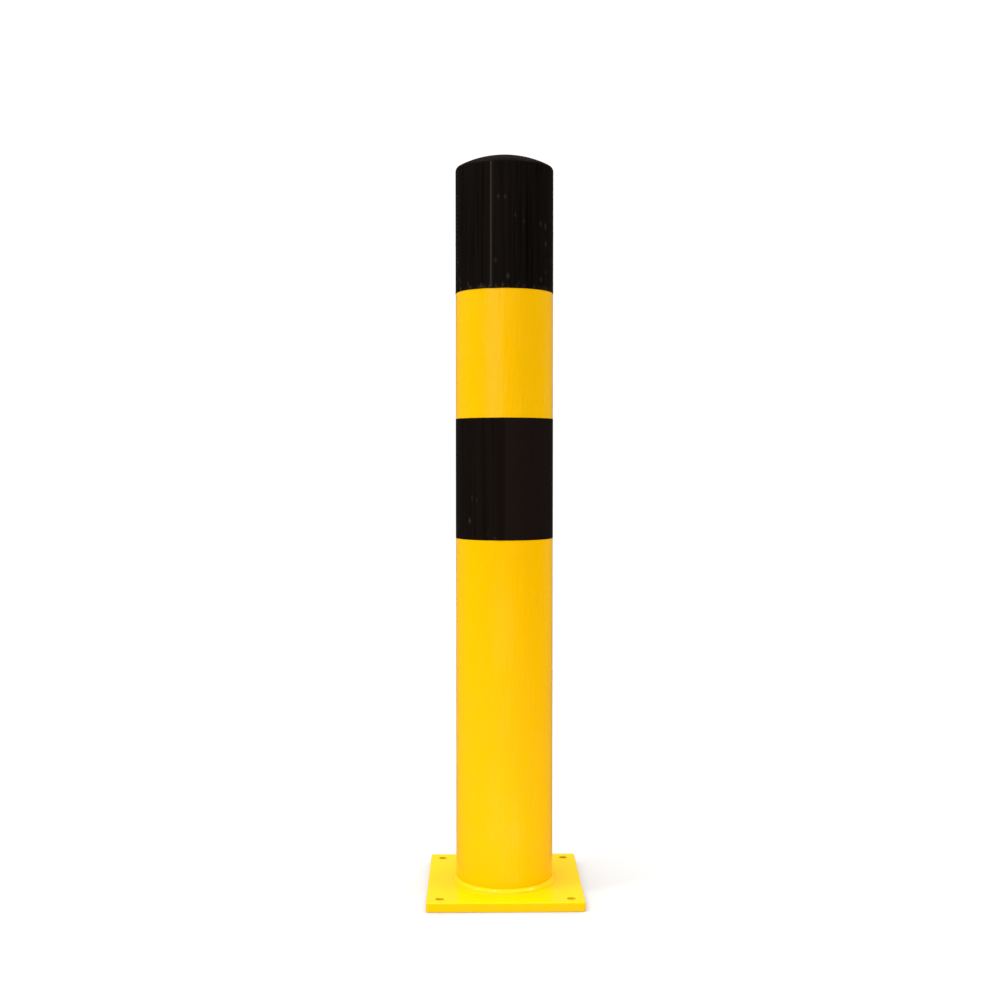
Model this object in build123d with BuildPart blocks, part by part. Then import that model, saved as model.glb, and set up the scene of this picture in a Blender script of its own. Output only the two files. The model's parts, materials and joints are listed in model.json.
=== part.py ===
"""Bolt-down impact protection bollard: a round steel post with a domed cap, welded to a square base plate,
with two adhesive black warning bands wrapped round it.

Frame: millimetres, +Z up, origin at the centre of the base plate's underside. -Y is the front.
"""

import os
from math import asin, cos, degrees, pi, radians, sin, sqrt, tan

from build123d import *

# Overall
total_height = 1200.0  # underside of the base plate to the crown of the cap
post_diameter = 159.0  # outside of the tube, the cap and the weld between them
post_wall = 4.5

# Base plate
plate_size = 250.0
plate_thickness = 15.0
plate_corner_radius = 3.0
plate_edge_chamfer = 0.8
anchor_hole_diameter = 14.0  # takes an M12 anchor bolt
anchor_edge_distance = 21.0  # hole centre to the plate's edge
vent_hole_diameter = 30.0  # lets the zinc and the oven air out of the closed post

# Foot weld, a fillet between the post and the plate
foot_weld_leg = 7.0
foot_weld_bulge = 0.7  # height of the rounded face above the straight line between its toes

# Domed cap
cap_wall = 4.5
crown_radius = 164.0  # outside of the dome
knuckle_radius = 5.0  # outside, between the dome and the straight flange
flange_length = 10.0  # straight edge below the knuckle

# Cap weld, a single-V butt weld ground flush outside
bevel_angle = 30.0  # on each edge, from the square end
root_face = 1.5
root_gap = 2.0

# Warning bands, strips of film wrapped once round the post
film_thickness = 0.3
upper_band_width = 199.0
lower_band_width = 195.0
band_gap = 203.5  # yellow between the two bands
lap_length = 14.0  # round the post, where a strip's end lies over its start
upper_lap_angle = 252.4  # degrees round +Z of the upper strip's visible end
lower_lap_angle = 269.4  # the same for the lower strip, which laps the other way

# Derived sizes
post_radius = post_diameter / 2
bore_radius = post_radius - post_wall
cap_bore_radius = post_radius - cap_wall
anchor_spacing = plate_size - 2 * anchor_edge_distance
crown_centre = total_height - crown_radius
knuckle_centre_radius = post_radius - knuckle_radius
rim_height = crown_centre + sqrt((crown_radius - knuckle_radius) ** 2 - knuckle_centre_radius**2)
crown_angle = asin(knuckle_centre_radius / (crown_radius - knuckle_radius))
cap_root = rim_height - flange_length
post_root = cap_root - root_gap
post_bevel_depth = (post_wall - root_face) * tan(radians(bevel_angle))
cap_bevel_depth = (cap_wall - root_face) * tan(radians(bevel_angle))
upper_band_base = rim_height - upper_band_width
lower_band_base = upper_band_base - band_gap - lower_band_width


def on_axis_circle(radius, centre_height, angle):
    """Point of a circle about a point of the Z axis, angle in radians from straight up, as (r, z)."""
    return (radius * sin(angle), centre_height + radius * cos(angle))


def film_band(base, width, lap_start, lap_end):
    """One strip of film round the post: a full first layer, and a second layer over the lap.

    lap_start and lap_end are degrees round +Z, the second larger than the first.
    """
    with BuildPart() as band:
        with BuildSketch(Plane.XY.offset(base)):
            Circle(post_radius + film_thickness)
            Circle(post_radius, mode=Mode.SUBTRACT)
            with BuildLine():
                first = CenterArc((0, 0), post_radius, lap_start, lap_end - lap_start)
                second = CenterArc((0, 0), post_radius + 2 * film_thickness, lap_start, lap_end - lap_start)
                Line(first @ 0, second @ 0)
                Line(first @ 1, second @ 1)
            make_face()
        extrude(amount=width)
    return band


# Square plate with the four anchor holes near its corners and the vent hole under the post.
with BuildPart() as base_plate:
    with BuildSketch():
        RectangleRounded(plate_size, plate_size, plate_corner_radius)
        with GridLocations(anchor_spacing, anchor_spacing, 2, 2):
            Circle(anchor_hole_diameter / 2, mode=Mode.SUBTRACT)
        Circle(vent_hole_diameter / 2, mode=Mode.SUBTRACT)
    extrude(amount=plate_thickness)
    for face in (base_plate.faces().sort_by(Axis.Z)[0], base_plate.faces().sort_by(Axis.Z)[-1]):
        chamfer(face.outer_wire().edges(), plate_edge_chamfer)

# Tube with a square lower end on the plate and a bevelled upper end for the cap weld.
with BuildPart() as post_tube:
    with BuildSketch(Plane.XZ):
        with BuildLine():
            Polyline(
                (bore_radius, plate_thickness),
                (post_radius, plate_thickness),
                (post_radius, post_root - post_bevel_depth),
                (bore_radius + root_face, post_root),
                (bore_radius, post_root),
                close=True,
            )
        make_face()
    revolve(axis=Axis.Z)

# Fillet weld round the foot, with a slightly rounded face.
with BuildPart() as foot_weld:
    toe_on_plate = (post_radius + foot_weld_leg, plate_thickness)
    toe_on_post = (post_radius, plate_thickness + foot_weld_leg)
    face_middle = foot_weld_leg / 2 + foot_weld_bulge / sqrt(2)
    with BuildSketch(Plane.XZ):
        with BuildLine():
            Line((post_radius, plate_thickness), toe_on_plate)
            ThreePointArc(
                toe_on_plate,
                (post_radius + face_middle, plate_thickness + face_middle),
                toe_on_post,
            )
            Line(toe_on_post, (post_radius, plate_thickness))
        make_face()
    revolve(axis=Axis.Z)

# Cap: spherical crown, knuckle and straight flange outside, and a spherical crown in a plain bore inside.
with BuildPart() as domed_cap:
    inner_crown_radius = crown_radius - cap_wall
    inner_corner_angle = asin(cap_bore_radius / inner_crown_radius)
    crown_top = on_axis_circle(crown_radius, crown_centre, 0)
    crown_end = on_axis_circle(crown_radius, crown_centre, crown_angle)
    crown_middle = on_axis_circle(crown_radius, crown_centre, crown_angle / 2)
    knuckle_turn = (crown_angle + pi / 2) / 2
    knuckle_middle = (
        knuckle_centre_radius + knuckle_radius * sin(knuckle_turn),
        rim_height + knuckle_radius * cos(knuckle_turn),
    )
    inner_top = on_axis_circle(inner_crown_radius, crown_centre, 0)
    inner_middle = on_axis_circle(inner_crown_radius, crown_centre, inner_corner_angle / 2)
    inner_corner = on_axis_circle(inner_crown_radius, crown_centre, inner_corner_angle)
    with BuildSketch(Plane.XZ):
        with BuildLine():
            ThreePointArc(crown_top, crown_middle, crown_end)
            ThreePointArc(crown_end, knuckle_middle, (post_radius, rim_height))
            Polyline(
                (post_radius, rim_height),
                (post_radius, cap_root + cap_bevel_depth),
                (cap_bore_radius + root_face, cap_root),
                (cap_bore_radius, cap_root),
                inner_corner,
            )
            ThreePointArc(inner_corner, inner_middle, inner_top)
            Line(inner_top, crown_top)
        make_face()
    revolve(axis=Axis.Z)

# Butt weld that fills the groove between the tube and the cap.
with BuildPart() as cap_weld:
    with BuildSketch(Plane.XZ):
        with BuildLine():
            Polyline(
                (bore_radius, post_root),
                (bore_radius + root_face, post_root),
                (post_radius, post_root - post_bevel_depth),
                (post_radius, cap_root + cap_bevel_depth),
                (cap_bore_radius + root_face, cap_root),
                (cap_bore_radius, cap_root),
                close=True,
            )
        make_face()
    revolve(axis=Axis.Z)

# The upper strip laps anticlockwise from its visible end and the lower one clockwise, seen from above.
lap_angle = degrees(lap_length / post_radius)
upper_band = film_band(upper_band_base, upper_band_width, upper_lap_angle, upper_lap_angle + lap_angle)
lower_band = film_band(lower_band_base, lower_band_width, lower_lap_angle - lap_angle, lower_lap_angle)

pieces = {
    "base_plate": base_plate,
    "post_tube": post_tube,
    "foot_weld": foot_weld,
    "domed_cap": domed_cap,
    "cap_weld": cap_weld,
    "upper_band": upper_band,
    "lower_band": lower_band,
}

os.makedirs("parts", exist_ok=True)
for name, piece in pieces.items():
    piece.part.label = name
    export_step(piece.part, f"parts/{name}.step")
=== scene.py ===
import json
from math import pi, radians, tau

import bpy
import numpy as np
from mathutils import Euler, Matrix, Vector

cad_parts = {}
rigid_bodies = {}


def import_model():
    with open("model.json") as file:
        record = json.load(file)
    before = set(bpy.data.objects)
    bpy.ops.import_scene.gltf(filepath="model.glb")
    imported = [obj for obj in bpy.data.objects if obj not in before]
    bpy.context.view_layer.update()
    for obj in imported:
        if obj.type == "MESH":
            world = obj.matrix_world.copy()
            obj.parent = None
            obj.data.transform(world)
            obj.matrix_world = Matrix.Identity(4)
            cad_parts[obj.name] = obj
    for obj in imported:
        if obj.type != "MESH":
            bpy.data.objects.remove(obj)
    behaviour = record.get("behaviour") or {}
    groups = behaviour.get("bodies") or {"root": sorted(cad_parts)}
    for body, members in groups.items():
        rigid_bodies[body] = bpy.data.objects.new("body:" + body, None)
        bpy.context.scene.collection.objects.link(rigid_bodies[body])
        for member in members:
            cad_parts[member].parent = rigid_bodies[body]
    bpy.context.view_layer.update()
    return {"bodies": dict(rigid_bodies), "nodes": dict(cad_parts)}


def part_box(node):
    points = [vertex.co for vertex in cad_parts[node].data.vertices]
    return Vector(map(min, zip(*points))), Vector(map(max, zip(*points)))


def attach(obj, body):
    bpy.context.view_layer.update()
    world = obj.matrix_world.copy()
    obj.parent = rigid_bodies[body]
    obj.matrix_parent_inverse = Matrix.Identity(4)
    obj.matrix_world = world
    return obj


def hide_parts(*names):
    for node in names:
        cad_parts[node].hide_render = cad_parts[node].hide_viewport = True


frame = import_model()
print("frame loaded with", len(frame["nodes"]), "nodes")

scene = bpy.context.scene
body = list(frame["bodies"])[0]  # the bollard has no moving parts, so everything rides on one body

plateLow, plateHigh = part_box("base_plate")
postLow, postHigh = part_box("post_tube")
footLow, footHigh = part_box("foot_weld")
capLow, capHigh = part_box("domed_cap")
postRadius = postHigh.x
plateTop = plateHigh.z

# camera

cameraSetup = {
    "place": (-0.0431, -2.100, 0.7086),  # metres, on the bollard's own axes
    "turn": 0.98,  # degrees to the right of straight along +Y
    "lookDown": 1.845,  # degrees below level
    "lens": 46.01,  # mm on a 36 mm wide sensor
}

cameraData = bpy.data.cameras.new("studioCamera")
cameraData.sensor_width = 36.0
cameraData.lens = cameraSetup["lens"]
camera = bpy.data.objects.new("studioCamera", cameraData)
camera.location = cameraSetup["place"]
camera.rotation_euler = Euler(
    (radians(90 - cameraSetup["lookDown"]), 0, radians(-cameraSetup["turn"]))
)
scene.collection.objects.link(camera)
scene.camera = camera
print("camera placed")

# studio: white surround, pale floor, soft boxes and two reflectors

studio = {
    "floorRadius": 2.2,
    "floorPaleness": 0.40,
    "floorShine": 0.1,
    "floorRoughness": 0.8,
    "floorRings": 40,
    "floorSteps": 96,  # points round each ring
    "surroundSeen": 1.05,  # brightness of the backdrop itself
    "fillLevel": 0.0,  # what it gives to matt surfaces, at eye level and overhead
    "fillOverhead": 3.45,
    "fillLeft": 1.31,  # shares of that from -X and from +X
    "fillRight": 0.66,
    "shineFront": 0.005,  # what glossy surfaces see of it, at -Y and at +Y
    "shineBack": 0.21,
    # name: place, aim height, width, height, brightness in W/m2/sr, seen in reflections
    "softBoxes": {
        "keyBox": ((-0.95, -2.05, 1.40), 1.20, 1.5, 1.45, 1.10, True),
        "overheadLeft": ((-1.5, -0.7, 3.0), 0.0, 0.3, 0.3, 110.0, True),
        "overheadRight": ((1.3, -0.6, 3.0), 0.0, 0.3, 0.3, 75.0, True),
        "topBox": ((-1.0, -0.2, 4.0), 0.0, 1.0, 1.0, 4.0, False),
        "backLeft": ((-2.0, 1.1, 1.2), 0.6, 1.0, 2.0, 1.5, False),
        "backRight": ((2.0, 1.2, 1.2), 0.6, 1.0, 2.0, 4.0, False),
        "frontReflector": ((-0.2, -1.4, 0.25), 0.25, 1.2, 0.26, 4.0, False),
        "lowReflector": ((0.0, -0.4, 0.03), 0.01, 0.6, 0.06, 3.0, False),
    },
}

scene.view_settings.view_transform = "Standard"
scene.view_settings.look = "None"


# A flat rectangular light that faces the post's axis at aimHeight. An area light spreads its watts over
# pi steradians, so they are pi times its brightness times its area.
def addSoftBox(name, place, aimHeight, width, height, brightness, reflected):
    light = bpy.data.lights.new(name, "AREA")
    light.shape = "RECTANGLE"
    light.size = width
    light.size_y = height
    light.energy = brightness * pi * width * height
    box = bpy.data.objects.new(name, light)
    box.location = place
    away = Vector(place) - Vector((0, 0, aimHeight))
    box.rotation_euler = away.to_track_quat("Z", "Y").to_euler()
    box.visible_camera = False
    box.visible_glossy = reflected
    scene.collection.objects.link(box)


for boxName, boxValues in studio["softBoxes"].items():
    addSoftBox(boxName, *boxValues)


# A value between sourceLow and sourceHigh becomes one between low and high, in proportion. Noise seldom
# leaves 0.3 to 0.7, so that is its span unless another is given.
def addRange(nodes, links, source, low, high, sourceLow=0.3, sourceHigh=0.7):
    span = nodes.new("ShaderNodeMapRange")
    span.inputs["From Min"].default_value = sourceLow
    span.inputs["From Max"].default_value = sourceHigh
    span.inputs["To Min"].default_value = low
    span.inputs["To Max"].default_value = high
    links.new(source, span.inputs["Value"])
    return span.outputs["Result"]


# The backdrop's light grows with height and changes evenly from left to right. Its reflection grows from
# the post's sides to behind it.
def addSurround():
    world = bpy.data.worlds.new("whiteSurround")
    scene.world = world
    world.use_nodes = True
    nodes = world.node_tree.nodes
    links = world.node_tree.links
    background = nodes["Background"]
    background.inputs["Color"].default_value = (1, 1, 1, 1)
    direction = nodes.new("ShaderNodeTexCoord")
    split = nodes.new("ShaderNodeSeparateXYZ")
    links.new(direction.outputs["Generated"], split.inputs["Vector"])
    height = addRange(nodes, links, split.outputs["Z"], studio["fillLevel"], studio["fillOverhead"], 0, 1)
    side = addRange(nodes, links, split.outputs["X"], studio["fillLeft"], studio["fillRight"], -1, 1)
    fill = nodes.new("ShaderNodeMath")
    fill.operation = "MULTIPLY"
    links.new(height, fill.inputs[0])
    links.new(side, fill.inputs[1])
    shine = addRange(nodes, links, split.outputs["Y"], studio["shineFront"], studio["shineBack"], 0, 1)
    path = nodes.new("ShaderNodeLightPath")
    lit = nodes.new("ShaderNodeMix")
    links.new(path.outputs["Is Glossy Ray"], lit.inputs["Factor"])
    links.new(fill.outputs["Value"], lit.inputs["A"])
    links.new(shine, lit.inputs["B"])
    seen = nodes.new("ShaderNodeMix")
    seen.inputs["B"].default_value = studio["surroundSeen"]
    links.new(path.outputs["Is Camera Ray"], seen.inputs["Factor"])
    links.new(lit.outputs["Result"], seen.inputs["A"])
    links.new(seen.outputs["Result"], background.inputs["Strength"])


addSurround()
print("studio lit by", len(studio["softBoxes"]), "soft boxes")

# meshes


# Cell (i, j) of a grid joins the points (i, j), (i, j + 1), (i + 1, j + 1) and (i + 1, j).
# wrapRows and wrapColumns join the last row or column to the first.
def gridQuads(rows, columns, wrapRows=False, wrapColumns=False):
    i = np.arange(rows if wrapRows else rows - 1)[:, None]
    j = np.arange(columns if wrapColumns else columns - 1)[None, :]
    nextI = (i + 1) % rows
    nextJ = (j + 1) % columns
    corners = (i * columns + j, i * columns + nextJ, nextI * columns + nextJ, nextI * columns + j)
    return np.stack(np.broadcast_arrays(*corners), axis=-1).reshape(-1, 4)


# Six times the volume is the sum over the faces of a . (b x c), taken over a fan of triangles,
# and it is negative when the faces point inwards.
def pointsOutwards(points, faces):
    a, b, c = (points[faces[:, k]] for k in range(3))
    volume = np.einsum("ij,ij->i", a, np.cross(b, c)).sum()
    if faces.shape[1] == 4:
        d = points[faces[:, 3]]
        volume += np.einsum("ij,ij->i", a, np.cross(c, d)).sum()
    return volume > 0


cellsPerMetre = 1e6  # points in the same cell, a micron wide, become one


# patches are (points, faces) pairs whose edges meet. They are put end to end and sewn up where they meet.
def weldedMesh(name, patches, sharpAngle=35):
    points = np.concatenate([p.reshape(-1, 3) for p, _ in patches])
    starts = np.cumsum([0] + [p.reshape(-1, 3).shape[0] for p, _ in patches[:-1]])
    faces = np.concatenate([f + start for (_, f), start in zip(patches, starts)])
    cells = np.round(points * cellsPerMetre).astype(np.int64)
    _, first, place = np.unique(cells, axis=0, return_index=True, return_inverse=True)
    return solidMesh(name, points[first], place.reshape(-1)[faces], sharpAngle)


# Faces are turned round if they point inwards. A quad with a side at a pole has two equal corners, so it is
# put in as a triangle.
def solidMesh(name, points, faces, sharpAngle):
    if not pointsOutwards(points, faces):
        faces = faces[:, ::-1]
    repeated = faces == np.roll(faces, 1, axis=1)
    atPole = repeated.any(axis=1)
    whole = faces[~atPole].tolist() + faces[atPole][~repeated[atPole]].reshape(-1, 3).tolist()
    mesh = bpy.data.meshes.new(name)
    mesh.from_pydata(points.tolist(), [], whole)
    mesh.validate()
    mesh.shade_smooth()
    mesh.set_sharp_from_angle(angle=radians(sharpAngle))
    piece = bpy.data.objects.new(name, mesh)
    scene.collection.objects.link(piece)
    return piece


# The profile's (r, z) points are turned round Z by each angle a: x = r cos a, y = r sin a.
def turned(profile, angles):
    r, z = profile[:, 0][:, None], profile[:, 1][:, None]
    return np.stack(np.broadcast_arrays(r * np.cos(angles), r * np.sin(angles), z), axis=-1)


# Points of a circle, centre + radius (cos a, sin a), with a in radians from +r towards +z.
def arc(centre, radius, start, end, count):
    a = np.linspace(start, end, count)
    return np.stack([centre[0] + radius * np.cos(a), centre[1] + radius * np.sin(a)], axis=-1)


# Points of a straight line, (1 - t) start + t end, both ends included.
def line(start, end, count):
    t = np.linspace(0, 1, count)[:, None]
    return np.array(start) * (1 - t) + np.array(end) * t


# A run of stretches, with the point that two neighbours share kept once.
def joined(*stretches):
    return np.concatenate([stretches[0]] + [s[1:] for s in stretches[1:]])


ringWave = {
    "lowestHeight": 0.3,  # of one cosine, as a share of the highest
    "gain": 1.6,
}


# A smooth wave round the post that closes on itself: cosines of whole numbers of turns, from lowest to
# highest, with random heights and phases, scaled so that their sum hardly ever passes -1 or 1.
def ringNoise(angles, lowest, highest, seed):
    random = np.random.default_rng(seed)
    turns = np.arange(lowest, highest + 1)
    heights = random.uniform(ringWave["lowestHeight"], 1, turns.size) / turns.size
    phases = random.uniform(0, tau, turns.size)
    return (heights * np.cos(np.multiply.outer(angles, turns) + phases)).sum(axis=-1) * ringWave["gain"]


# The piece takes its materials, rides on the body and stands in for its plain node.
def finishPiece(piece, node, materials):
    for material in materials:
        piece.data.materials.append(material)
    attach(piece, body)
    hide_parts(node)
    print("made", piece.name, "with", len(piece.data.polygons), "faces")


# materials


# An empty material with its nodes and links at hand.
def newMaterial(name):
    material = bpy.data.materials.new(name)
    material.use_nodes = True
    return material, material.node_tree.nodes, material.node_tree.links


# Noise on the object's own coordinates, in features per metre along each axis.
def addNoise(nodes, links, scale, detail=2.0, roughness=0.5):
    coordinates = nodes.new("ShaderNodeTexCoord")
    mapping = nodes.new("ShaderNodeMapping")
    mapping.inputs["Scale"].default_value = scale
    noise = nodes.new("ShaderNodeTexNoise")
    noise.inputs["Scale"].default_value = 1.0
    noise.inputs["Detail"].default_value = detail
    noise.inputs["Roughness"].default_value = roughness
    links.new(coordinates.outputs["Object"], mapping.inputs["Vector"])
    links.new(mapping.outputs["Vector"], noise.inputs["Vector"])
    return noise


# A colour that goes from low to high in proportion to the factor.
def addColourMix(nodes, links, factor, low, high):
    mix = nodes.new("ShaderNodeMix")
    mix.data_type = "RGBA"
    mix.inputs["A"].default_value = low
    mix.inputs["B"].default_value = high
    links.new(factor, mix.inputs["Factor"])
    return mix.outputs["Result"]


# The normal leans as it would on a relief of that height, which is depth metres at height 1. It is added to
# the relief under it.
def addBump(nodes, links, height, strength, depth, under=None):
    bump = nodes.new("ShaderNodeBump")
    bump.inputs["Strength"].default_value = strength
    bump.inputs["Distance"].default_value = depth
    links.new(height, bump.inputs["Height"])
    if under is not None:
        links.new(under, bump.inputs["Normal"])
    return bump.outputs["Normal"]


coatGrain = {
    "drift": (7, 7, 5),  # wander of the colour, in features per metre along each axis
    "patches": (45, 45, 30),  # of the gloss
    "rolls": (170, 170, 24),  # streaks that the tube rolls leave under the coat
    "peelDepth": 0.0006,
    "rollDepth": 0.0025,
}


# Powder coat: a level colour that wanders a little, slow patches in the gloss, orange peel and roll streaks.
def powderCoat(name, values):
    material, nodes, links = newMaterial(name)
    shader = nodes["Principled BSDF"]
    shader.inputs["Specular IOR Level"].default_value = values["shine"]
    shader.inputs["Specular Tint"].default_value = values["shineTint"]
    drift = addNoise(nodes, links, coatGrain["drift"], detail=3)
    colour = addColourMix(nodes, links, drift.outputs["Fac"], values["deep"], values["pale"])
    links.new(colour, shader.inputs["Base Color"])
    patches = addNoise(nodes, links, coatGrain["patches"])
    gloss = addRange(nodes, links, patches.outputs["Fac"], values["smooth"], values["rough"])
    links.new(gloss, shader.inputs["Roughness"])
    peel = addNoise(nodes, links, (values["peelSize"],) * 3, detail=1.5)
    peelNormal = addBump(nodes, links, peel.outputs["Fac"], values["peelStrength"], coatGrain["peelDepth"])
    rolls = addNoise(nodes, links, coatGrain["rolls"], detail=3)
    normal = addBump(
        nodes, links, rolls.outputs["Fac"], values["rollStrength"], coatGrain["rollDepth"], peelNormal
    )
    links.new(normal, shader.inputs["Normal"])
    return material


yellowFinish = {
    "deep": (0.668, 0.350, 0.0003, 1),
    "pale": (0.722, 0.383, 0.0005, 1),
    "shine": 0.25,
    "shineTint": (1.0, 0.95, 0.80, 1),
    "smooth": 0.10,
    "rough": 0.22,
    "peelSize": 230.0,  # features per metre
    "peelStrength": 0.28,
    "rollStrength": 0.45,
}
yellowCoat = powderCoat("yellowPowderCoat", yellowFinish)
# the same coat over the rough weld, where every spatter and ripple glints
beadCoat = powderCoat("beadPowderCoat", dict(
    yellowFinish, shine=0.32, smooth=0.11, rough=0.18, peelSize=480.0, peelStrength=0.35, rollStrength=0.0
))
plateCoat = powderCoat("platePowderCoat", dict(yellowFinish, rollStrength=0.12))
# the powder hardly reaches into the drilled holes
thinCoat = powderCoat("thinPowderCoat", {
    "deep": (0.48, 0.340, 0.004, 1),
    "pale": (0.62, 0.460, 0.006, 1),
    "shine": 0.20,
    "shineTint": (1.0, 0.95, 0.80, 1),
    "smooth": 0.40,
    "rough": 0.60,
    "peelSize": 380.0,
    "peelStrength": 0.35,
    "rollStrength": 0.02,
})
blackCoat = powderCoat("blackPowderCoat", {
    "deep": (0.0044, 0.0026, 0.0018, 1),
    "pale": (0.0068, 0.0042, 0.0030, 1),
    "shine": 0.05,
    "shineTint": (1.0, 0.8, 0.65, 1),
    "smooth": 0.45,
    "rough": 0.58,
    "peelSize": 380.0,
    "peelStrength": 0.35,
    "rollStrength": 0.01,
})

filmFinish = {
    "deep": (0.0010, 0.0006, 0.0004, 1),
    "pale": (0.0052, 0.0034, 0.0024, 1),
    "paintedHighlight": (0.050, 0.038, 0.031, 1),  # painted highlight on the bubbles and along the lap's end, where they catch the light
    # painted sheen: a lighter film colour near the lower band's start
    "paintedSheen": (0.0075, 0.0042, 0.0035, 1),
    "shine": 0.05,
    "shineTint": (1.0, 0.8, 0.65, 1),
    "smooth": 0.50,
    "rough": 0.72,
    "streaks": (230, 230, 4),  # features per metre along each axis
    "streakRoughness": 0.6,
    "streakStrength": 0.25,
    "streakDepth": 0.0003,
    "grain": (1500, 1500, 1500),
    "grainStrength": 0.2,
    "grainDepth": 0.0002,
}


# Cast vinyl film: fine upright streaks in colour and gloss and a grained skin, with a painted highlight
# where the highlight mark is 1 and a painted sheen, lighter film, where the sheen mark is 1.
def blackFilm():
    material, nodes, links = newMaterial("blackFilm")
    shader = nodes["Principled BSDF"]
    shader.inputs["Specular IOR Level"].default_value = filmFinish["shine"]
    shader.inputs["Specular Tint"].default_value = filmFinish["shineTint"]
    streaks = addNoise(
        nodes, links, filmFinish["streaks"], detail=3, roughness=filmFinish["streakRoughness"]
    )
    spread = addRange(nodes, links, streaks.outputs["Fac"], 0, 1)
    colour = addColourMix(nodes, links, spread, filmFinish["deep"], filmFinish["pale"])
    # painted sheen and painted highlight, each mixed in where its point mark is 1
    for mark, key in (("sheenMark", "paintedSheen"), ("highlightMark", "paintedHighlight")):
        amount = nodes.new("ShaderNodeAttribute")
        amount.attribute_name = mark
        blend = nodes.new("ShaderNodeMix")
        blend.data_type = "RGBA"
        blend.inputs["B"].default_value = filmFinish[key]
        links.new(amount.outputs["Fac"], blend.inputs["Factor"])
        links.new(colour, blend.inputs["A"])
        colour = blend.outputs["Result"]
    links.new(colour, shader.inputs["Base Color"])
    gloss = addRange(nodes, links, streaks.outputs["Fac"], filmFinish["smooth"], filmFinish["rough"])
    links.new(gloss, shader.inputs["Roughness"])
    grain = addNoise(nodes, links, filmFinish["grain"], detail=1)
    grainNormal = addBump(
        nodes, links, grain.outputs["Fac"], filmFinish["grainStrength"], filmFinish["grainDepth"]
    )
    strength, depth = filmFinish["streakStrength"], filmFinish["streakDepth"]
    normal = addBump(nodes, links, streaks.outputs["Fac"], strength, depth, grainNormal)
    links.new(normal, shader.inputs["Normal"])
    return material


filmMaterial = blackFilm()

millFinish = {
    "scale": (0.055, 0.058, 0.066, 1),
    "rust": (0.120, 0.052, 0.022, 1),
    "rustFrom": 0.50,  # noise at which rust begins, and at which it has its full share
    "rustTo": 0.75,
    "rustShare": 0.8,
    "metallic": 0.6,
    "blotches": (35, 35, 12),  # features per metre along each axis
    "blotchRoughness": 0.65,
    "smooth": 0.45,
    "rough": 0.80,
    "bumpStrength": 0.3,
    "bumpDepth": 0.0005,
}


# Steel as it left the mill: blue-grey scale with a first bloom of rust.
def millSteel():
    material, nodes, links = newMaterial("millSteel")
    shader = nodes["Principled BSDF"]
    shader.inputs["Metallic"].default_value = millFinish["metallic"]
    blotches = addNoise(
        nodes, links, millFinish["blotches"], detail=5, roughness=millFinish["blotchRoughness"]
    ).outputs["Fac"]
    rusty = addRange(
        nodes, links, blotches, 0, millFinish["rustShare"], millFinish["rustFrom"], millFinish["rustTo"]
    )
    colour = addColourMix(nodes, links, rusty, millFinish["scale"], millFinish["rust"])
    links.new(colour, shader.inputs["Base Color"])
    gloss = addRange(nodes, links, blotches, millFinish["smooth"], millFinish["rough"])
    links.new(gloss, shader.inputs["Roughness"])
    normal = addBump(nodes, links, blotches, millFinish["bumpStrength"], millFinish["bumpDepth"])
    links.new(normal, shader.inputs["Normal"])
    return material


groundFinish = {
    "dull": (0.30, 0.29, 0.28, 1),
    "bright": (0.44, 0.43, 0.42, 1),
    "metallic": 1.0,
    "scratches": (60, 60, 2400),  # features per metre along each axis
    "smooth": 0.28,
    "rough": 0.45,
    "bumpStrength": 0.3,
    "bumpDepth": 0.0001,
}


# Weld metal ground flush: fine scratches run round the post.
def groundSteel():
    material, nodes, links = newMaterial("groundWeldSteel")
    shader = nodes["Principled BSDF"]
    shader.inputs["Metallic"].default_value = groundFinish["metallic"]
    scratches = addNoise(nodes, links, groundFinish["scratches"], detail=3).outputs["Fac"]
    colour = addColourMix(nodes, links, scratches, groundFinish["dull"], groundFinish["bright"])
    links.new(colour, shader.inputs["Base Color"])
    gloss = addRange(nodes, links, scratches, groundFinish["smooth"], groundFinish["rough"])
    links.new(gloss, shader.inputs["Roughness"])
    normal = addBump(nodes, links, scratches, groundFinish["bumpStrength"], groundFinish["bumpDepth"])
    links.new(normal, shader.inputs["Normal"])
    return material


bareSteel = millSteel()
weldSteel = groundSteel()
print("materials ready")


# Matt pale paint, lit until it is as white as the surround.
def paleFloor():
    material, nodes, links = newMaterial("paleFloor")
    shader = nodes["Principled BSDF"]
    shader.inputs["Base Color"].default_value = (studio["floorPaleness"],) * 3 + (1,)
    shader.inputs["Specular IOR Level"].default_value = studio["floorShine"]
    shader.inputs["Roughness"].default_value = studio["floorRoughness"]
    return material


# Rings of a flat disc, closer together towards the middle: r = R u^2. A flat disc has no inside, so it is
# turned over here if it looks down.
def layFloor():
    angles = np.linspace(0, tau, studio["floorSteps"], endpoint=False)
    radii = studio["floorRadius"] * np.linspace(0, 1, studio["floorRings"]) ** 2
    disc = turned(np.stack([radii, np.zeros_like(radii)], axis=-1), angles)
    floor = weldedMesh("floor", [(disc, gridQuads(*disc.shape[:2], wrapColumns=True))])
    if floor.data.polygons[0].normal.z < 0:
        floor.data.flip_normals()
    floor.data.materials.append(paleFloor())
    floor.visible_glossy = False  # the coat shows the soft boxes and the backdrop only


layFloor()
print("floor laid")

# post tube

tube = {
    "wall": 0.0045,
    "rootFace": 0.0015,  # square edge left at the bore when the upper end is bevelled
    "bevel": 30.0,  # degrees
    "footRound": 0.0003,
    "coatShare": 0.5,  # how much of the wall, from outside, the coat may cover
    "steps": 192,  # points round the post
    "rows": 72,  # points up the wall
    "endRows": 4,
    "rootRows": 3,
}


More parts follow.
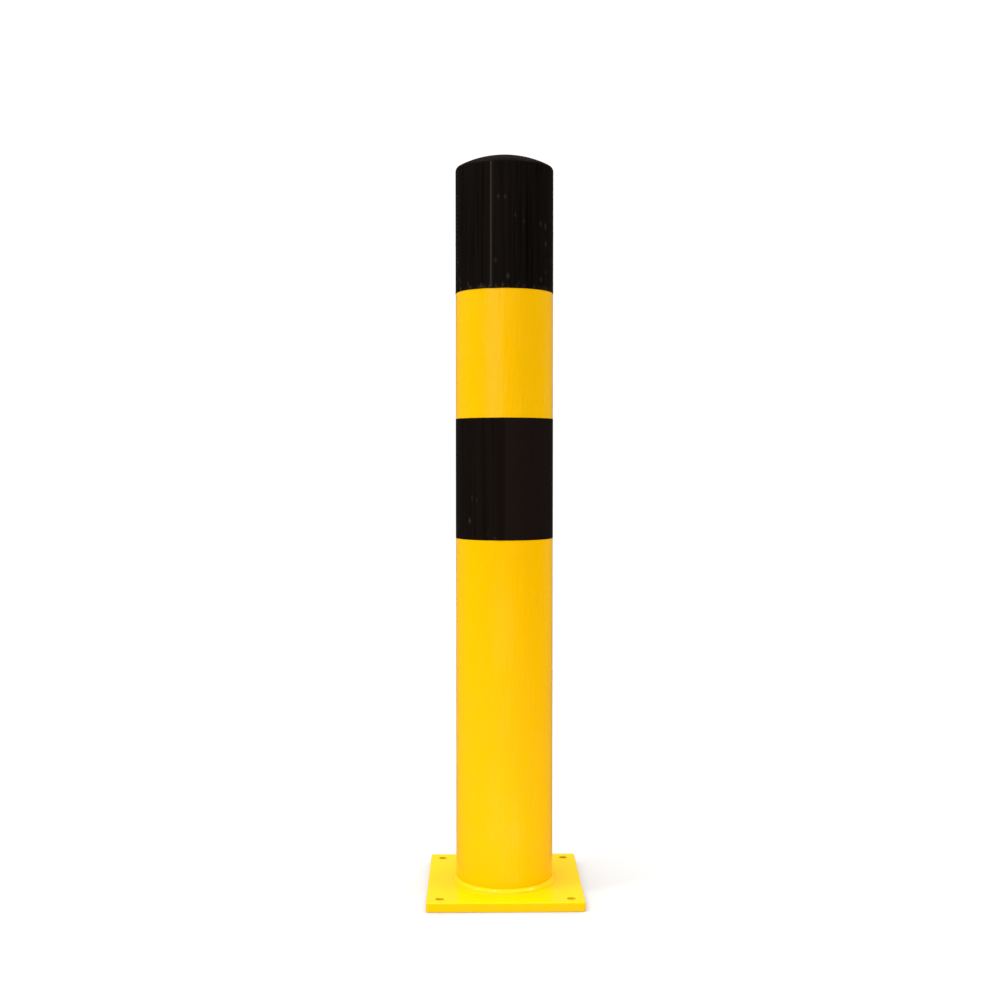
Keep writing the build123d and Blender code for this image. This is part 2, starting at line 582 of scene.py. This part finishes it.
# The wall's section as (r, z): out along the foot, round its edge, up the outside, in along the bevel and the
# root face, and down the bore. The bevel drops by (wall - rootFace) tan(bevel).
def tubeProfile():
    bore = postRadius - tube["wall"]
    drop = (tube["wall"] - tube["rootFace"]) * np.tan(radians(tube["bevel"]))
    foot = tube["footRound"]
    low, high = postLow.z, postHigh.z
    return joined(
        line((bore, low), (postRadius - foot, low), tube["endRows"]),
        arc((postRadius - foot, low + foot), foot, -pi / 2, 0, tube["endRows"]),
        line((postRadius, low + foot), (postRadius, high - drop), tube["rows"]),
        line((postRadius, high - drop), (bore + tube["rootFace"], high), tube["endRows"]),
        line((bore + tube["rootFace"], high), (bore, high), tube["rootRows"]),
        line((bore, high), (bore, low), tube["rows"]),
    )[:-1]


# Faces that look towards the axis, by more than leastLean, and lie nearer to it than reach take the second
# material.
def setInside(piece, reach, leastLean=1e-5):
    middles = np.array([tuple(p.center) for p in piece.data.polygons])
    normals = np.array([tuple(p.normal) for p in piece.data.polygons])
    inward = (middles[:, 0] * normals[:, 0] + middles[:, 1] * normals[:, 1]) < -leastLean
    near = np.hypot(middles[:, 0], middles[:, 1]) < reach
    piece.data.polygons.foreach_set("material_index", (inward & near).astype(np.int32))


roundAngles = np.linspace(0, tau, tube["steps"], endpoint=False)
tubePoints = turned(tubeProfile(), roundAngles)
postTube = weldedMesh("postTube", [(tubePoints, gridQuads(*tubePoints.shape[:2], True, True))])
finishPiece(postTube, "post_tube", [yellowCoat, bareSteel])
setInside(postTube, postRadius - tube["wall"] * tube["coatShare"])

# domed cap

dome = {
    "wall": 0.0045,
    "rootFace": 0.0015,
    "bevel": 30.0,
    "crownRadius": 0.164,
    "knuckleRadius": 0.005,
    "coatShare": 0.9,  # how much of the wall, from outside, the coat may cover
    "rows": 48,  # points from the top to the knuckle
    "knuckleRows": 12,
    "flangeRows": 6,
    "bevelRows": 4,
    "rootRows": 3,
}


# Crown, knuckle, flange and bevel outside; the bore and the inner crown inside. Both ends lie on the axis.
# The knuckle's centre is crownRadius - knuckleRadius from the crown's, and lean is the angle of the line
# between them, along which the crown meets the knuckle.
def domeProfile():
    top = capHigh.z
    centre = top - dome["crownRadius"]
    knuckle = dome["knuckleRadius"]
    knuckleCentre = postRadius - knuckle
    rim = centre + np.sqrt((dome["crownRadius"] - knuckle) ** 2 - knuckleCentre**2)
    lean = np.arccos(knuckleCentre / (dome["crownRadius"] - knuckle))
    bore = postRadius - dome["wall"]
    inner = dome["crownRadius"] - dome["wall"]
    corner = np.arccos(bore / inner)
    rise = (dome["wall"] - dome["rootFace"]) * np.tan(radians(dome["bevel"]))
    low = capLow.z
    return joined(
        arc((0, centre), dome["crownRadius"], pi / 2, lean, dome["rows"]),
        arc((knuckleCentre, rim), knuckle, lean, 0, dome["knuckleRows"]),
        line((postRadius, rim), (postRadius, low + rise), dome["flangeRows"]),
        line((postRadius, low + rise), (bore + dome["rootFace"], low), dome["bevelRows"]),
        line((bore + dome["rootFace"], low), (bore, low), dome["rootRows"]),
        line((bore, low), (bore, centre + inner * np.sin(corner)), dome["flangeRows"]),
        arc((0, centre), inner, corner, pi / 2, dome["rows"]),
    )


domePoints = turned(domeProfile(), roundAngles)
domedCap = weldedMesh("domedCap", [(domePoints, gridQuads(*domePoints.shape[:2], False, True))])
finishPiece(domedCap, "domed_cap", [blackCoat, bareSteel])
setInside(domedCap, postRadius - dome["wall"] * dome["coatShare"])

# cap weld, ground flush under the upper film

capSeam = {
    "rootRows": 3,
    "bevelRows": 5,
    "faceRows": 6,
    "boreRows": 4,
}


# The weld's section fills both bevels: out along the lower root face and bevel, up the ground face, back in
# along the upper bevel and root face, and down the bore.
def capWeldProfile():
    bore = postRadius - tube["wall"]
    face = bore + tube["rootFace"]
    drop = (tube["wall"] - tube["rootFace"]) * np.tan(radians(tube["bevel"]))
    low, high = postHigh.z, capLow.z
    return joined(
        line((bore, low), (face, low), capSeam["rootRows"]),
        line((face, low), (postRadius, low - drop), capSeam["bevelRows"]),
        line((postRadius, low - drop), (postRadius, high + drop), capSeam["faceRows"]),
        line((postRadius, high + drop), (face, high), capSeam["bevelRows"]),
        line((face, high), (bore, high), capSeam["rootRows"]),
        line((bore, high), (bore, low), capSeam["boreRows"]),
    )[:-1]


ringPoints = turned(capWeldProfile(), roundAngles)
capWeld = weldedMesh("capWeld", [(ringPoints, gridQuads(*ringPoints.shape[:2], True, True))])
finishPiece(capWeld, "cap_weld", [weldSteel])

# base plate

plate = {
    "cornerRadius": 0.003,
    "edgeRound": 0.0014,  # the coat softens the sheared edge
    "holeRadius": 0.007,
    "holeEdge": 0.021,  # hole centre to the plate's edge
    "ventRadius": 0.015,
    "lipRound": 0.0007,
    "wave": 0.00012,  # how far the rolled face is from flat
    "slowWaves": ((31, 12, 0.4), (-17, 43, 1.9), (62, -25, 4.0)),  # radians per metre in x and y, and phase
    "holeSteps": 12,  # cells along each inner side of a corner block
    "spanSteps": 40,  # cells between two corner blocks
    "outlineSteps": 8,  # cells along the corner's round and along each straight beside it
    "faceRows": 11,
    "faceCrowding": 1.3,  # power that draws the face's rows towards the hole
    "lipRows": 6,
    "boreRows": 8,
    "edgeRoundRows": 7,
    "edgeRows": 8,
    "sharpAngle": 50,
}


# The outline round the corner at +X +Y, from one neighbouring strip to the other: points and outward normals.
def cornerOutline():
    half = plateHigh.x
    radius = plate["cornerRadius"]
    start = half - 2 * plate["holeEdge"]
    count = plate["outlineSteps"] + 1
    centre = (half - radius, half - radius)
    points = joined(
        line((half, start), (half, half - radius), count),
        arc(centre, radius, 0, pi / 2, count),
        line((half - radius, half), (start, half), count),
    )
    turn = joined(
        np.zeros((count, 1)), np.linspace(0, pi / 2, count)[:, None], np.full((count, 1), pi / 2)
    )
    return points, np.concatenate([np.cos(turn), np.sin(turn)], axis=1)


# Quarter turns about Z: x, y become x cos t - y sin t, x sin t + y cos t.
def quarterTurn(points, quarters):
    c, s = round(np.cos(quarters * pi / 2)), round(np.sin(quarters * pi / 2))
    turnedPoints = points.copy()
    turnedPoints[..., 0] = points[..., 0] * c - points[..., 1] * s
    turnedPoints[..., 1] = points[..., 0] * s + points[..., 1] * c
    return turnedPoints


# A block with a hole through it: from the outer boundary in towards the hole on top, over the lip, down the
# wall, under the lip and out again below. Between ring and boundary a point is (1 - t) ring + t boundary.
def boredBlock(centre, boundary, holeRadius):
    centre = np.array(centre)
    direction = boundary - centre
    direction = direction / np.linalg.norm(direction, axis=1)[:, None]
    lip = plate["lipRound"]
    high, low = plateTop, plateLow.z
    ring = centre + direction * (holeRadius + lip)
    share = (np.linspace(1, 0, plate["faceRows"]) ** plate["faceCrowding"])[:, None, None]
    flat = ring * (1 - share) + boundary * share
    wall = joined(
        arc((holeRadius + lip, high - lip), lip, pi / 2, pi, plate["lipRows"]),
        line((holeRadius, high - lip), (holeRadius, low + lip), plate["boreRows"]),
        arc((holeRadius + lip, low + lip), lip, pi, 3 * pi / 2, plate["lipRows"]),
    )
    bore = centre + direction * wall[:, 0][:, None, None]
    upper = np.concatenate([flat, np.full(flat.shape[:2] + (1,), high)], axis=-1)
    lower = np.concatenate([flat[::-1], np.full(flat.shape[:2] + (1,), low)], axis=-1)
    heights = np.broadcast_to(wall[:, 1][:, None, None], bore.shape[:2] + (1,))
    middle = np.concatenate([bore, heights], axis=-1)
    points = np.concatenate([upper, middle[1:-1], lower])
    return points, gridQuads(*points.shape[:2], False, True)[:, ::-1]


# A flat rectangle between two corner blocks, top and bottom.
def plainStrip(xs, ys, height, upwards):
    grid = np.stack(np.meshgrid(xs, ys, [height], indexing="ij"), axis=-1)[:, :, 0]
    quads = gridQuads(xs.size, ys.size)
    return grid, quads[:, ::-1] if upwards else quads


# The edge's section, rounded at both corners, is carried along the outline on its normals.
def plateEdge(outline, normals):
    radius = plate["edgeRound"]
    high, low = plateTop, plateLow.z
    section = joined(
        arc((-radius, high - radius), radius, pi / 2, 0, plate["edgeRoundRows"]),
        line((0, high - radius), (0, low + radius), plate["edgeRows"]),
        arc((-radius, low + radius), radius, 0, -pi / 2, plate["edgeRoundRows"]),
    )
    flat = outline + normals * section[:, 0][:, None, None]
    heights = np.broadcast_to(section[:, 1][:, None, None], flat.shape[:2] + (1,))
    return np.concatenate([flat, heights], axis=-1)


# One block round the vent, four round the anchor holes, a flat strip above and below between each two of
# those four, and the rounded edge round them all.
def makePlate():
    half, edge = plateHigh.x, plate["edgeRound"]
    inner = half - 2 * plate["holeEdge"]
    outline, normals = cornerOutline()
    inset = outline - edge * normals
    across = np.linspace(inner, half - edge, plate["holeSteps"] + 1)
    span = np.linspace(-inner, inner, plate["spanSteps"] + 1)
    sideOne = np.stack([np.full_like(across, inner), across], axis=-1)[::-1]
    sideTwo = np.stack([across, np.full_like(across, inner)], axis=-1)
    cornerLoop = joined(inset, sideOne, sideTwo)[:-1]
    hole = half - plate["holeEdge"]
    corner, cornerQuads = boredBlock((hole, hole), cornerLoop, plate["holeRadius"])
    middleSide = np.stack([np.full_like(span, inner), span], axis=-1)
    middleLoop = joined(*(quarterTurn(middleSide, k) for k in range(4)))[:-1]
    patches = [boredBlock((0, 0), middleLoop, plate["ventRadius"])]
    loop = []
    loopNormals = []
    for k in range(4):
        patches.append((quarterTurn(corner, k), cornerQuads))
        for height, upwards in ((plateTop, True), (plateLow.z, False)):
            strip, quads = plainStrip(across, span, height, upwards)
            patches.append((quarterTurn(strip, k), quads))
        straight = np.stack([np.full_like(span, half), span], axis=-1)[:-1]
        loop += [quarterTurn(straight, k), quarterTurn(outline, k)[:-1]]
        flatNormals = np.tile([1.0, 0.0], (straight.shape[0], 1))
        loopNormals += [quarterTurn(flatNormals, k), quarterTurn(normals, k)[:-1]]
    rim = plateEdge(np.concatenate(loop), np.concatenate(loopNormals))
    patches.append((rim, gridQuads(*rim.shape[:2], False, True)[:, ::-1]))
    piece = weldedMesh("basePlate", patches, plate["sharpAngle"])
    settlePlate(piece)
    return piece


# The upper face sinks by wave (n + the sum of n slow sines of a x + b y + c) / n, so it stays within the
# plate's own size.
def settlePlate(piece):
    count = len(piece.data.vertices)
    flat = np.zeros(count * 3)
    piece.data.vertices.foreach_get("co", flat)
    points = flat.reshape(-1, 3)
    x, y = points[:, 0], points[:, 1]
    total = sum(np.sin(a * x + b * y + c) for a, b, c in plate["slowWaves"])
    number = len(plate["slowWaves"])
    points[:, 2] -= np.where(points[:, 2] > plateTop / 2, plate["wave"] * (total + number) / number, 0)
    piece.data.vertices.foreach_set("co", points.reshape(-1))
    piece.data.update()


# Faces on a hole's wall and on the inner half of its lips take the second material.
def markBores(piece):
    middles = np.array([tuple(p.center) for p in piece.data.polygons])
    hole = plateHigh.x - plate["holeEdge"]
    fromAnchor = np.hypot(np.abs(middles[:, 0]) - hole, np.abs(middles[:, 1]) - hole)
    reach = plate["lipRound"] / 2
    inAnchor = fromAnchor < plate["holeRadius"] + reach
    inVent = np.hypot(middles[:, 0], middles[:, 1]) < plate["ventRadius"] + reach
    piece.data.polygons.foreach_set("material_index", (inAnchor | inVent).astype(np.int32))


basePlate = makePlate()
finishPiece(basePlate, "base_plate", [plateCoat, thinCoat])
markBores(basePlate)

# foot weld

bead = {
    "sink": 0.0002,  # how far the toes lie under the surfaces they join
    "bulge": 0.0007,
    "fullness": 0.7,  # power on the bulge's sine: below 1 the face is fuller than a sine
    "ripples": 118,
    "rippleHeight": 0.00035,
    "rippleBow": 1.3,  # how far, in ripples, the middle of each one lags behind its ends
    "rippleStray": 0.6,  # how far, in ripples, each one may be out of place
    "rippleSharpness": 1.4,
    "heightLevel": 0.75,  # the ripples' height is this, give or take the spread
    "heightSpread": 0.5,
    "legDrift": 0.0012,
    # fewest and most waves round the post, and seed
    "plateLegWaves": (3, 40, 4),
    "postLegWaves": (3, 40, 5),
    "strayWaves": (2, 30, 6),
    "heightWaves": (8, 90, 7),
    # angle in degrees, half width in degrees, height: where the welder stopped and started again
    "restarts": ((253, 6, 0.0008), (290, 7, 0.0009), (18, 6, 0.0008), (97, 6, 0.0009), (170, 6, 0.0008)),
    "restartWaves": (30, 160),  # each restart's own angle is its seed
    "restartLevel": 0.65,
    "restartSpread": 0.9,
    "steps": 1440,
    "rows": 22,
    "sharpAngle": 60,
}


# Across the bead, s runs from 0 at the toe on the plate to 1 at the toe on the post. The face is the straight
# line between the toes, pushed out along its normal by bulge sin(pi s)^fullness, by ripples bent into
# crescents, and at each restart by a lump, height exp(-(a / halfWidth)^2) sin(pi s). Each leg is short of the
# full leg by up to legDrift.
def beadPoints():
    angles = np.linspace(0, tau, bead["steps"], endpoint=False)[None, :]
    s = np.linspace(0, 1, bead["rows"])[:, None]
    leg = footHigh.z - footLow.z
    drift = bead["legDrift"]
    plateLeg = leg - drift * (1 - ringNoise(angles, *bead["plateLegWaves"])) / 2
    postLeg = leg - drift * (1 - ringNoise(angles, *bead["postLegWaves"])) / 2
    lag = bead["rippleBow"] * (1 - (2 * s - 1) ** 2)
    stray = bead["rippleStray"] * ringNoise(angles, *bead["strayWaves"])
    phase = angles * bead["ripples"] / tau + stray - lag
    ripple = 1 - np.abs(np.sin(pi * phase)) ** bead["rippleSharpness"]
    unevenness = bead["heightLevel"] + bead["heightSpread"] * ringNoise(angles, *bead["heightWaves"])
    out = bead["bulge"] + bead["rippleHeight"] * ripple * unevenness
    out = out * np.sin(pi * s) ** bead["fullness"]
    for middle, halfWidth, height in bead["restarts"]:
        away = (np.degrees(angles) - middle + 180) % 360 - 180
        grain = bead["restartSpread"] * ringNoise(angles, *bead["restartWaves"], middle)
        lump = np.exp(-((away / halfWidth) ** 2)) * (bead["restartLevel"] + grain)
        out = out + height * lump * np.sin(pi * s)
    sink = bead["sink"]
    r = postRadius - sink + (plateLeg + sink) * (1 - s) + out / np.sqrt(2)
    z = plateTop - sink + (postLeg + sink) * s + out / np.sqrt(2)
    backR = np.array([postRadius - sink, postRadius - sink])[:, None] + 0 * angles
    backZ = np.array([plateTop + leg / 2, plateTop - sink])[:, None] + 0 * angles
    r, z = np.concatenate([r, backR]), np.concatenate([z, backZ])
    return np.stack([r * np.cos(angles), r * np.sin(angles), z], axis=-1)


footPoints = beadPoints()
footQuads = gridQuads(*footPoints.shape[:2], True, True)
footWeld = weldedMesh("footWeld", [(footPoints, footQuads)], bead["sharpAngle"])
finishPiece(footWeld, "foot_weld", [beadCoat])

# warning bands of black film

film = {
    "thickness": 0.0003,
    "lap": 0.014,  # along the post's surface
    "climb": 0.0035,  # over which the strip climbs onto its own start
    "edgeWave": 0.0003,  # how far the cut edges stray
    "edgeWaves": (2, 40),  # fewest and most waves round the post
    "steps": 620,
    "rows": 72,
    "edgeRows": (0, 0.0004, 0.0012),  # heights of the rows that lie close to the edge
    "firstRow": 0.003,  # height of the first evenly spaced row
    "bubbleHeight": 0.00035,
    "bubbleWidth": (0.0010, 0.0022),
    "bubbleShape": 0.6,  # how wide one is, as a share of how far it runs up the post
    "bubbleLeast": 0.3,  # height of the flattest bubble, as a share of the tallest
    # painted highlight on each bubble, as a share of the highlight colour
    "bubbleHighlight": 0.55,
    "bubbleFrom": 0.002,  # how far above the band's lower edge they begin
    "bubbleSpan": 0.96,  # the share of the band's height that has bubbles
    "bubbleCrowding": 7,  # power that draws them towards the lower edge
    "seamWidth": 0.0030,
    "sheenLength": 0.40,  # how far the painted sheen reaches, along the strip from its start
    "sharpAngle": 40,
}
# end is the angle in degrees where the end that shows lies, and way is which way round the strip runs to it
bands = {
    "upperBand": {
        "node": "upper_band",
        "end": 252.4,
        "way": -1,
        "bubbles": 130,
        # painted highlight along the lap's end, which faces the light on this band
        "seamHighlight": 0.45,
        "sheenStrength": 0.0,
        "seed": 11,
    },
    "lowerBand": {
        "node": "lower_band",
        "end": 269.4,
        "way": 1,
        "bubbles": 9,
        "seamHighlight": 0.0,
        # painted sheen: the film is lighter near the strip's start
        "sheenStrength": 1.0,
        "seed": 23,
    },
}


# Heights of small domes of trapped air, exp(-d^2 / w^2) each, over the strip's angles and its height up.
def bubbleLift(angles, up, height, number, random):
    lift = np.zeros(np.broadcast_shapes(angles.shape, up.shape))
    for _ in range(number):
        place = random.uniform(0, tau)
        share = random.uniform(0, 1) ** film["bubbleCrowding"]
        level = film["bubbleFrom"] + height * film["bubbleSpan"] * share
        width = random.uniform(*film["bubbleWidth"])
        turn = (angles - place + pi) % tau - pi
        distance = (turn * postRadius) ** 2 + ((up - level) * film["bubbleShape"]) ** 2
        bubble = random.uniform(film["bubbleLeast"], 1) * np.exp(-distance / width**2)
        lift = np.maximum(lift, bubble)
    return lift


# The strip is followed from its covered start to its visible end, all the way round and over the lap.
# Its inner radius is the post's, and rises by one thickness as a smooth step 3c^2 - 2c^3 over the climb.
# Bubbles lift both faces and get a painted highlight, paler film on top of them. The seam gets a painted
# highlight by exp(-(distance / seamWidth)^2), and the painted sheen, lighter film, dies away from the start
# by exp(-distance / the sheen's length).
def filmStrip(band):
    low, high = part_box(band["node"])
    random = np.random.default_rng(band["seed"])
    length = tau + film["lap"] / postRadius
    along = np.linspace(0, length, film["steps"])[:, None]
    angles = radians(band["end"]) - band["way"] * (length - along)
    height = high.z - low.z
    evenRows = np.linspace(film["firstRow"], height / 2, film["rows"] // 2)
    lowerHalf = np.concatenate([film["edgeRows"], evenRows])
    up = np.concatenate([lowerHalf, (height - lowerHalf[:-1])[::-1]])[None, :]
    climbTurn = film["climb"] / postRadius
    climb = np.clip((along - (tau - climbTurn)) / climbTurn, 0, 1)
    inner = postRadius + film["thickness"] * climb**2 * (3 - 2 * climb) + 0 * up
    lift = bubbleLift(angles, up, height, band["bubbles"], random)
    inner = inner + film["bubbleHeight"] * lift
    outer = inner + film["thickness"]
    wave = film["edgeWave"]
    bottom = wave * (1 + ringNoise(angles, *film["edgeWaves"], band["seed"])) / 2
    top = wave * (1 + ringNoise(angles, *film["edgeWaves"], band["seed"] + 1)) / 2
    z = low.z + up + bottom * (1 - up / height) - top * up / height
    faces = [np.stack([r * np.cos(angles), r * np.sin(angles), z], axis=-1) for r in (outer, inner)]
    section = np.concatenate([faces[0], faces[1][:, ::-1]], axis=1)
    fromEnd = (length - along) * postRadius
    # painted highlights: along the visible lap's end, and on the bubbles
    seam = band["seamHighlight"] * np.exp(-((fromEnd / film["seamWidth"]) ** 2))
    pale = np.maximum(film["bubbleHighlight"] * lift, seam)
    # painted sheen, lighter film that dies away from the strip's start
    sheenShare = band["sheenStrength"] * np.exp(-along * postRadius / film["sheenLength"]) + 0 * up
    marks = [np.concatenate([m, m[:, ::-1]], axis=1) for m in (pale, sheenShare)]
    return section, up.size, marks


# The four faces along the strip are one grid, and each end is closed by a ladder of quads between the outer
# and the inner face.
def filmFaces(sections, rows):
    quads = gridQuads(sections, 2 * rows, False, True)
    j = np.arange(rows - 1)
    ladder = np.stack([j, j + 1, 2 * rows - 2 - j, 2 * rows - 1 - j], axis=-1)
    last = (sections - 1) * 2 * rows
    return np.concatenate([quads, ladder, ladder[:, ::-1] + last])


for name, band in bands.items():
    strip, rows, marks = filmStrip(band)
    piece = solidMesh(name, strip.reshape(-1, 3), filmFaces(strip.shape[0], rows), film["sharpAngle"])
    for markName, mark in zip(("highlightMark", "sheenMark"), marks):
        layer = piece.data.attributes.new(markName, "FLOAT", "POINT")
        layer.data.foreach_set("value", mark.reshape(-1).astype(np.float32))
    finishPiece(piece, band["node"], [filmMaterial])

print("all pieces in place")
